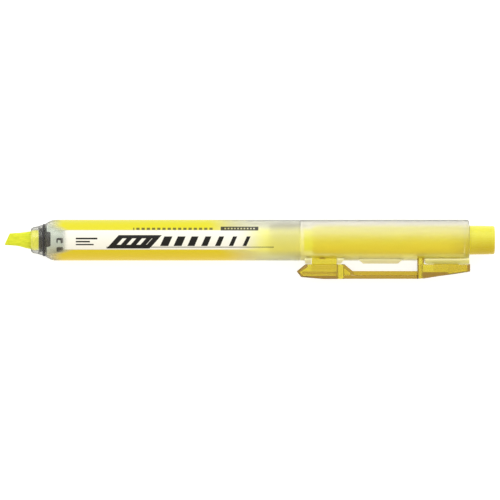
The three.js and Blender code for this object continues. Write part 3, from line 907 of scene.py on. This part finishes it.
def valve_lip(name, side):
    """A soft tongue that lies along the valve's wall while the nib is out, and folds down behind it. It is
    drawn lying along the wall.
    """
    root = -61.85
    reach = span("valve_lips")[1] - root
    columns, rows = 48, 28
    hinge_gap = 0.004  # the share of the half turn that keeps the two lips apart
    outer_r = LIP_R - 0.03
    bm = bmesh.new()
    layers = []
    # It gets thinner towards its tip: each surface goes from its radius at the root to that at the tip
    for root_r, tip_r in ((3.15, 3.3), (outer_r, outer_r)):
        grid = []
        for i in range(columns + 1):
            angle = math.pi * (hinge_gap + (1 - 2 * hinge_gap) * i / columns) - math.pi / 2
            length = reach * (1 + math.cos(angle)) / 2
            line = []
            for k in range(rows + 1):
                along = length * k / rows
                r = root_r + (tip_r - root_r) * along / reach
                point = (root + along, side * r * math.cos(angle), r * math.sin(angle))
                line.append(bm.verts.new(point))
            grid.append(line)
        layers.append(grid)
    inner, outer = layers
    for i in range(columns):
        for k in range(rows):
            for grid in layers:
                bm.faces.new((grid[i][k], grid[i + 1][k], grid[i + 1][k + 1], grid[i][k + 1]))
        for k in (0, rows):
            bm.faces.new((inner[i][k], inner[i + 1][k], outer[i + 1][k], outer[i][k]))
    for k in range(rows):
        for i in (0, columns):
            bm.faces.new((inner[i][k], inner[i][k + 1], outer[i][k + 1], outer[i][k]))
    piece = placed(from_bmesh(name, bm), "barrel", BLACK_RUBBER, "valve_lips")
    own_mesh(piece)
    return piece


# ---- Return spring ----


def coil_centres(front, length, wire_r, coil_r):
    """The middle of the wire along a compression spring whose end coils lie flat against each other."""
    turns, dead_turns, steps_per_turn = 8.6, 0.9, 40
    pitch_closed = 2 * wire_r
    dead = pitch_closed * dead_turns
    total = turns + 2 * dead_turns
    count = int(total * steps_per_turn)
    centres = []
    for k in range(count + 1):
        turn = total * k / count
        if turn < dead_turns:
            x = pitch_closed * turn
        elif turn > total - dead_turns:
            x = length - pitch_closed * (total - turn)
        else:
            x = dead + (length - 2 * dead) * (turn - dead_turns) / turns
        angle = 2 * math.pi * turn
        centres.append(Vector((front + wire_r + x, coil_r * math.cos(angle), coil_r * math.sin(angle))))
    return centres


def return_spring():
    front, back = span("return_spring")
    wire_r, sides = 0.25, 12
    centres = coil_centres(front, back - front - 2 * wire_r, wire_r, 4.15)
    last = len(centres) - 1
    sections = []
    for k, centre in enumerate(centres):
        ahead = centres[min(k + 1, last)] - centres[max(k - 1, 0)]
        outward = Vector((0, centre.y, centre.z)).normalized()
        side = ahead.normalized().cross(outward)
        angles = [2 * math.pi * s / sides for s in range(sides)]
        sections.append([centre + (outward * math.cos(a) + side * math.sin(a)) * wire_r for a in angles])
    spring = lofted("return_spring", sections)
    placed(spring, None, SPRING_STEEL, "return_spring")
    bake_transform(spring)
    return spring


# ---- Ink cartridge ----


def follow(points, x):
    """Reads a value off a short list of (station, value), straight between them."""
    for (x0, v0), (x1, v1) in zip(points, points[1:]):
        if x <= x1:
            t = max(0.0, (x - x0) / (x1 - x0))
            return v0 + (v1 - v0) * t
    return points[-1][1]


def nib_section(x, tip, waves, sides):
    """The nib's outline at a station: a rounded box that goes from a thin edge to a full circle."""
    far_side = [(tip, 1.98), (-71.0, 2.08), (-68.4, 2.18), (-66.6, 2.44), (-65.2, 2.64)]
    clip_side = [(tip, 1.48), (-71.0, 1.58), (-69.4, 1.7), (-68.0, 1.98), (-66.6, 2.4), (-65.2, 2.65)]
    thickness = [(tip, 0.98), (-70.0, 1.5), (-67.6, 2.1), (-66.0, 2.55), (-65.2, 2.65)]
    squareness = [(tip, 6.0), (-69.0, 4.6), (-66.6, 2.6), (-65.2, 2.0)]
    edge_r, slant, slant_length = 0.25, 1.4, 3.6
    # The writing edge is rounded
    before_full = max(0.0, tip + edge_r + 0.02 - x)
    inset = math.sqrt(max(0.0, edge_r**2 - before_full**2)) - edge_r
    high, low = follow(far_side, x) + inset, follow(clip_side, x) + inset
    half_z = follow(thickness, x) + inset
    power = follow(squareness, x)
    # It slants too: the far side starts further back than the clip side
    lean = max(0.0, 1 - (x - tip) / slant_length)
    section = []
    for s in range(sides):
        angle = 2 * math.pi * s / sides
        c, d = math.cos(angle), math.sin(angle)
        reach = (abs(c) ** power + abs(d) ** power) ** (-1 / power)
        groove = sum(math.sin(n * angle + phase + 0.15 * x) for n, phase in waves) / len(waves)
        reach *= 1 + 0.035 * groove
        y = reach * c * (high if c > 0 else low)
        slide = lean * slant * (y + low) / (high + low)
        section.append((x + slide, y, reach * d * half_z))
    return section


def nib():
    """A fibre rod whose front is a slanted chisel, with fine grooves along it."""
    random.seed(7)
    tip, back = span("nib")
    shoulder, rod_r, sides = -61.1, 1.6, 192
    waves = [(random.randint(9, 70), random.uniform(0, 2 * math.pi)) for _ in range(26)]
    stations = [tip + 0.02, tip + 0.05, tip + 0.12, tip + 0.25]
    stations += [tip + 0.25 + 0.22 * k for k in range(1, 36)]
    stations += [-65.0, -63.5, shoulder - 0.1, shoulder]
    sections = [nib_section(x, tip, waves, sides) for x in stations]
    for x, r in ((shoulder + 0.02, rod_r), (back - 0.2, rod_r), (back, 1.45)):
        sections.append(circle(x, r, sides))
    return placed(lofted("nib", sections), "cartridge", NIB_FIBRE, "nib", crease=50)


def nib_holder():
    front, back = span("nib_holder")
    outer_r, socket_r, flange_r = 2.97, 2.71, 3.4
    tail_r, rod_bore = 2.7, 1.7
    flange, flange_end, socket_end = -55.2, -54.35, -61.05
    outline = [(front, socket_r, 0.06), (front, 2.9, 0.1), (front + 0.2, outer_r, 0.1)]
    for groove in (-64.1, -63.2):
        outline += [(groove - 0.15, outer_r, 0.05), (groove, 2.86, 0.08), (groove + 0.15, outer_r, 0.05)]
    outline += [
        (flange, outer_r, 0.1),
        (flange, flange_r, 0.12),
        (flange_end, flange_r, 0.08),
        (flange_end, tail_r, 0.08),
        (back, tail_r, 0.2),
        (back, rod_bore, 0.1),
        (socket_end, rod_bore, 0.1),
        (socket_end, socket_r, 0.1),
    ]
    return round_part("nib_holder", outline, "cartridge", TINTED_PLASTIC)


def cartridge_tube():
    """The tube, with the collar that the return spring pushes on."""
    front, back = span("cartridge_tube")
    collar, collar_r, bore = -13.0, 4.28, 2.8
    outline = [
        (front, bore, 0.08),
        (front, CARTRIDGE_R, 0.12),
        (collar, CARTRIDGE_R, 0.15),
        (collar, collar_r, 0.15),
        (collar + 1.5, collar_r, 0.3),
        (collar + 1.9, CARTRIDGE_R, 0.3),
        (back, CARTRIDGE_R, 0.12),
        (back, bore, 0.08),
    ]
    return round_part("cartridge_tube", outline, "cartridge", TINTED_PLASTIC)


def ink_reservoir():
    """The fibre bundle, with the shallow flutes that its film presses into it."""
    front, back = span("ink_reservoir")
    hole_end, hole_r, outer_r = -45.8, 1.7, 2.64
    outline = [
        (front, hole_r, 0.1),
        (front, outer_r, 0.2),
        (back, outer_r, 0.2),
        (back, 0),
        (hole_end, 0),
        (hole_end, hole_r),
    ]
    piece = turned("ink_reservoir", outline)
    flutes, flute_depth = 24, 0.012
    for corner in piece.data.vertices:
        r = math.hypot(corner.co.y, corner.co.z)
        if r > 2.3:
            angle = math.atan2(corner.co.z, corner.co.y)
            flute = 1 - flute_depth * (1 + math.cos(flutes * angle))
            corner.co.y *= flute
            corner.co.z *= flute
    return placed(piece, "cartridge", INK_FIBRE, "ink_reservoir")


def reservoir_wrap():
    front, back = span("reservoir_wrap")
    inner_r, outer_r = 2.68, 2.76
    outline = [(front, inner_r), (front, outer_r), (back, outer_r), (back, inner_r)]
    return round_part("reservoir_wrap", outline, "cartridge", WRAP_FILM)


def cartridge_tail():
    """The plug in the tube's rear end, with the stub that stands in the slider's socket."""
    front, back = span("cartridge_tail")
    flange, flange_end = 26.05, 27.2
    plug_r, stub_r = 2.7, 1.5
    outline = [
        (front, 0),
        (front, plug_r, 0.3),
        (flange, plug_r, 0.05),
        (flange, CARTRIDGE_R, 0.1),
        (flange_end, CARTRIDGE_R, 0.15),
        (flange_end, stub_r, 0.15),
        (back, stub_r, 0.3),
        (back, 0),
    ]
    return round_part("cartridge_tail", outline, "cartridge", YELLOW_PLASTIC)


# ---- Push button ----


def knock_slider():
    """The tube between cartridge and button, with the notch for the clip's claw and two stop lugs."""
    front, back = span("knock_slider")
    shoulder = span("knock_button")[0] - 0.05
    web, web_back = 28.3, 29.8
    socket_r, bore, spigot_r, lug_r = 3.6, 3.1, 3.7, 4.93
    outline = [
        (front, socket_r, 0.1),
        (front, 3.85, 0.1),
        (front + 1.2, BUTTON_R, 0.4),
        (shoulder, BUTTON_R, 0.1),
        (shoulder, spigot_r),
        (back, spigot_r, 0.2),
        (back, bore, 0.1),
        (web_back, bore, 0.3),
        (web_back, 0),
        (web, 0),
        (web, socket_r, 0.3),
    ]
    piece = turned("knock_slider", outline)
    lug_front, lug_root = shoulder - 1.4, 3.9
    lugs = [(lug_front, lug_root), (lug_front, lug_r, 0.2), (shoulder, lug_r, 0.2), (shoulder, lug_root)]
    lugs = turned("lugs", lugs)
    combine(lugs, "INTERSECT", block("keep", shoulder - 3, shoulder + 1, -1.8, 1.8, 6))
    combine(piece, "UNION", lugs)
    combine(piece, "DIFFERENCE", block("notch", 20.6, 24.2, 3.85, 5.0, 1.9, 0.15))
    return placed(piece, "knock", YELLOW_PLASTIC, "knock_slider")


def knock_button():
    """The button, with a fine groove around it near its end and a shallow dish in its end face."""
    front, back = span("knock_button")
    bore, dish_r, dish = 3.8, 2.9, back - 0.12
    groove, floor = back - 1.4, back - 1.5
    outline = [
        (front, bore, 0.08),
        (front, BUTTON_R, 0.1),
        (REAR_END, BUTTON_R),
        (groove - 0.15, 4.27, 0.04),
        (groove, 4.14, 0.04),
        (groove + 0.15, 4.25, 0.04),
        (back, 4.22, 0.75),
        (back, dish_r, 0.5),
        (dish, 2.3, 0.5),
        (dish, 0),
        (floor, 0),
        (floor, bore, 0.4),
    ]
    return round_part("knock_button", outline, "knock", YELLOW_PLASTIC, arc_steps=6)


# ---- Clip ----

CLIP_OUTER = 11.6
CLIP_PLATE = 10.55
CLIP_WIDE = 3.05
CLIP_NARROW = 2.4
CLIP_WALL = 0.6
BLOCK_TOP = 7.17
FOOT_TOP = 7.19


def clip_solid():
    """The clip without its hollows: front block, gusset, bar, foot and heel in one."""
    bar_outer = CLIP_OUTER - 0.06
    front_block = [
        (CLIP_NOSE, 9.3),
        (16.65, BLOCK_TOP),
        (28.0, BLOCK_TOP),
        (28.0, CLIP_OUTER),
        (21.8, CLIP_OUTER),
        (15.3, 11.02),
    ]
    gusset = [
        (27.0, BLOCK_TOP),
        (28.2, BLOCK_TOP, 0.3),
        (30.7, 9.24, 0.4),
        (31.5, bar_outer),
        (27.0, bar_outer),
    ]
    foot = [
        (49.9, FOOT_TOP),
        (CLIP_END, FOOT_TOP),
        (CLIP_END, 9.38),
        (61.0, 10.12),
        (56.5, 10.72),
        (52.2, 11.40),
        (49.9, 11.56),
    ]
    return combine(
        slab("clip", front_block, CLIP_WIDE, 0.55),
        "UNION",
        slab("gusset", gusset, CLIP_NARROW - 0.05, 0.15),
        # The bar is a plate with a narrower rib on the side towards the barrel
        block("plate", 27.2, 50.4, 10.5, bar_outer, CLIP_NARROW, 0.3),
        block("rib", 29.5, 50.4, 9.22, 10.8, CLIP_NARROW - 0.75, 0.15),
        slab("foot", foot, CLIP_WIDE, 0.5),
        block("heel", 49.9, 51.95, 5.0, 9.0, 2.6, 0.15),
    )


def clip_hollows():
    """The cores that leave the block, the gusset, the foot and the heel with thin walls."""
    inside = CLIP_WIDE - CLIP_WALL
    above, below = 6.8, 12.5  # depths past the clip, where a core runs out into the open
    nose = [
        (17.2, above),
        (25.9, above),
        (25.9, CLIP_PLATE, 0.1),
        (15.9, 10.6, 0.2),
        (14.9, 9.5, 0.2),
        (17.2, 8.0, 0.3),
    ]
    gusset = [
        (28.05, 8.2),
        (28.5, 8.5, 0.2),
        (30.1, 9.85, 0.2),
        (30.1, CLIP_PLATE),
        (28.05, CLIP_PLATE),
    ]
    foot = [
        (51.55, above),
        (64.75, above),
        (64.75, 9.15, 0.2),
        (59.2, 9.95, 0.2),
        (58.9, 9.55, 0.1),
        (51.55, 9.55, 0.1),
    ]
    return [
        slab("nose_core", nose, inside, 0.12),
        block("window", 26.15, 27.75, above, below, inside, 0.1),
        slab("gusset_core", gusset, 1.5, 0.1),
        slab("foot_core", foot, inside, 0.12),
        block("heel_core", 50.35, 51.5, 4.5, below, 2.1, 0.05),
    ]


def clip():
    """One moulding with thin walls: the block with its claw, the springy bar, the foot with its heel."""
    piece = combine(clip_solid(), "DIFFERENCE", *clip_hollows())
    tenon = [(54.8, 6.55), (62.2, 6.55), (62.2, 9.8), (54.8, 10.6)]
    tooth = [(20.8, 4.62, 0.1), (22.0, 4.62, 0.2), (22.6, 5.7), (20.8, 5.7)]
    combine(
        piece,
        "UNION",
        block("ledge", 15.6, 26.0, 9.35, 10.3, 1.0, 0.08),
        block("fin", 59.4, 64.9, 7.7, 9.6, 0.4, 0.06),
        # The thin tongue that stands in the boss's pocket
        slab("tenon", tenon, 0.2, 0.04),
        # The claw: two cheeks that reach into the barrel, with a tooth between them
        *[shift(block("cheek", 18.5, 25.92, 5.4, 9.0, 0.26, 0.05), z) for z in (-2.24, 2.24)],
        slab("tooth", tooth, 2.3, 0.06),
    )
    placed(piece, None, AMBER_PLASTIC, "clip_arm", "clip_foot")
    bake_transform(piece)
    return piece


# ---- The pen ----

front_barrel()
rear_barrel()
nozzle()
nose_gasket()
seal_chamber()
chamber_cap()
chamber_seal()
valve_body()
valve_ring()
valve_lip("valve_lip_upper", 1)
valve_lip("valve_lip_lower", -1)
return_spring()
nib()
nib_holder()
cartridge_tube()
ink_reservoir()
reservoir_wrap()
cartridge_tail()
knock_slider()
knock_button()
clip()

# ---- Table, lights and camera ----


def table():
    half = 0.6
    bm = bmesh.new()
    corners = [bm.verts.new((x * half, y * half, 0)) for x, y in ((-1, -1), (1, -1), (1, 1), (-1, 1))]
    bm.faces.new(corners)
    floor = from_bmesh("table", bm)
    floor.location.z = -0.0001
    floor.data.materials.append(table_top())


def soft_light(name, degrees, distance, width, height, power, colour):
    """A softbox over the pen, so many degrees from the camera towards the side away from the clip."""
    lamp = bpy.data.lights.new(name, "AREA")
    lamp.shape = "RECTANGLE"
    lamp.size, lamp.size_y = width, height
    lamp.energy, lamp.color = power, colour
    light = new_object(name, lamp)
    light.visible_camera = False
    angle = math.radians(degrees)
    towards = READER * math.cos(angle) + ACROSS * math.sin(angle)
    turn = Matrix((ALONG, towards.cross(ALONG), towards)).transposed().to_4x4()
    light.matrix_world = Matrix.Translation(towards * distance) @ turn


def room():
    """A pale studio, bright on the side away from the clip, warmer on the clip's side, dark above."""
    world = bpy.data.worlds.new("room")
    bpy.context.scene.world = world
    world.use_nodes = True
    tree = world.node_tree

    def facing(direction, low, high, dim, bright):
        dot = tree.nodes.new("ShaderNodeVectorMath")
        dot.operation = "DOT_PRODUCT"
        dot.inputs[1].default_value = direction
        tree.links.new(coordinates.outputs["Generated"], dot.inputs[0])
        ramp = tree.nodes.new("ShaderNodeMapRange")
        ramp.interpolation_type = "SMOOTHSTEP"
        tree.links.new(dot.outputs["Value"], ramp.inputs["Value"])
        for socket, value in zip(("From Min", "From Max", "To Min", "To Max"), (low, high, dim, bright)):
            ramp.inputs[socket].default_value = value
        return ramp.outputs["Result"]

    coordinates = tree.nodes.new("ShaderNodeTexCoord")
    aside = facing(ACROSS, -0.9, 0.9, 0.0, 1.0)
    shade = facing(READER, 0.72, 0.97, 1.0, 0.93)
    tint = tree.nodes.new("ShaderNodeMix")
    tint.data_type = "RGBA"
    tree.links.new(aside, tint.inputs[0])
    tint.inputs[6].default_value = (0.98, 0.88, 0.68, 1)
    tint.inputs[7].default_value = (0.98, 0.98, 0.96, 1)
    background = tree.nodes["Background"]
    tree.links.new(tint.outputs[2], background.inputs["Color"])
    tree.links.new(shade, background.inputs["Strength"])


def camera():
    """A long lens square to the plane of the clip, with the pen across the whole picture."""
    distance, picture_width = 1.6, 0.1490
    lens = bpy.data.cameras.new("camera")
    lens.sensor_width = 36
    lens.lens = lens.sensor_width * distance / picture_width
    lens.clip_start, lens.clip_end = 0.05, 10
    eye = new_object("camera", lens)
    target = spot(0.12, 2.95)
    turn = Matrix((ALONG, ACROSS, READER)).transposed().to_4x4()
    eye.matrix_world = Matrix.Translation(target + READER * distance) @ turn
    bpy.context.scene.camera = eye


table()
soft_light("key", 50, 0.9, 1.2, 0.7, 4.0, (1.0, 1.0, 0.98))
room()
camera()
bpy.context.scene.view_settings.view_transform = "Standard"
bpy.context.scene.view_settings.look = "None"
